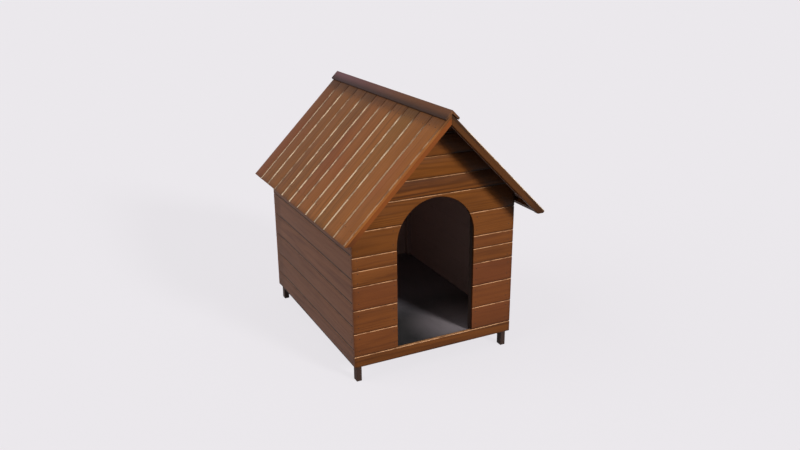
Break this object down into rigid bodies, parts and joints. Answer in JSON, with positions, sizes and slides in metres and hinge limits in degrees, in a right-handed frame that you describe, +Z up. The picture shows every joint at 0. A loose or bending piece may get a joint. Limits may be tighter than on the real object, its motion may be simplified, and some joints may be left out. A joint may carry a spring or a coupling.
{
  "type": "dog house",
  "caption": "Timber dog house with a gable roof of tongue-and-groove boards, an arched doorway in the front gable and a raised floor on short feet.",
  "frame": {"origin": "on the ground, under the middle of the roof", "axes": "+Z up, -Y out of the doorway, the ridge along Y, +X to the right seen from the front"},
  "size_m": [0.88, 1.112, 1.0917],
  "materials": {
    "roof_boards": "brown stained boards with pale V-joints, satin",
    "ridge_cap": "dark brown stained timber, satin",
    "side_boards": "brown stained boards, satin",
    "gable_boards": "orange-brown stained boards with pale V-joints, satin",
    "frame_timber": "dark brown stained sawn timber",
    "floor_panel": "smooth grey film-faced panel"
  },
  "bodies": {
    "root": {"back_post": "frame_timber", "back_rafter_left": "frame_timber", "back_rafter_right": "frame_timber", "back_wall_boards": "gable_boards", "base_rails": "frame_timber", "corner_post_back_left": "frame_timber", "corner_post_back_right": "frame_timber", "corner_post_front_left": "frame_timber", "corner_post_front_right": "frame_timber", "door_post_left": "frame_timber", "door_post_right": "frame_timber", "eave_lath_left": "frame_timber", "eave_lath_right": "frame_timber", "floor_bearers": "frame_timber", "floor_panel": "floor_panel", "front_arch_board": "gable_boards", "front_gable_board_1": "gable_boards", "front_gable_board_2": "gable_boards", "front_gable_board_3": "gable_boards", "front_gable_board_4": "gable_boards", "front_left_door_board_1": "gable_boards", "front_left_door_board_2": "gable_boards", "front_left_door_board_3": "gable_boards", "front_left_door_board_4": "gable_boards", "front_left_door_board_5": "gable_boards", "front_left_door_board_6": "gable_boards", "front_rafter_left": "frame_timber", "front_rafter_right": "frame_timber", "front_right_door_board_1": "gable_boards", "front_right_door_board_2": "gable_boards", "front_right_door_board_3": "gable_boards", "front_right_door_board_4": "gable_boards", "front_right_door_board_5": "gable_boards", "front_right_door_board_6": "gable_boards", "front_sill": "gable_boards", "left_roof_board_01": "roof_boards", "left_roof_board_02": "roof_boards", "left_roof_board_03": "roof_boards", "left_roof_board_04": "roof_boards", "left_roof_board_05": "roof_boards", "left_roof_board_06": "roof_boards", "left_roof_board_07": "roof_boards", "left_roof_board_08": "roof_boards", "left_roof_board_09": "roof_boards", "left_roof_board_10": "roof_boards", "left_roof_board_11": "roof_boards", "left_wall_board_1": "side_boards", "left_wall_board_2": "side_boards", "left_wall_board_3": "side_boards", "left_wall_board_4": "side_boards", "left_wall_board_5": "side_boards", "left_wall_board_6": "side_boards", "left_wall_board_7": "side_boards", "ridge_beam": "frame_timber", "ridge_cap_left": "ridge_cap", "ridge_cap_right": "ridge_cap", "right_roof_boards": "roof_boards", "right_wall_boards": "side_boards"}
  },
  "joints": []
}
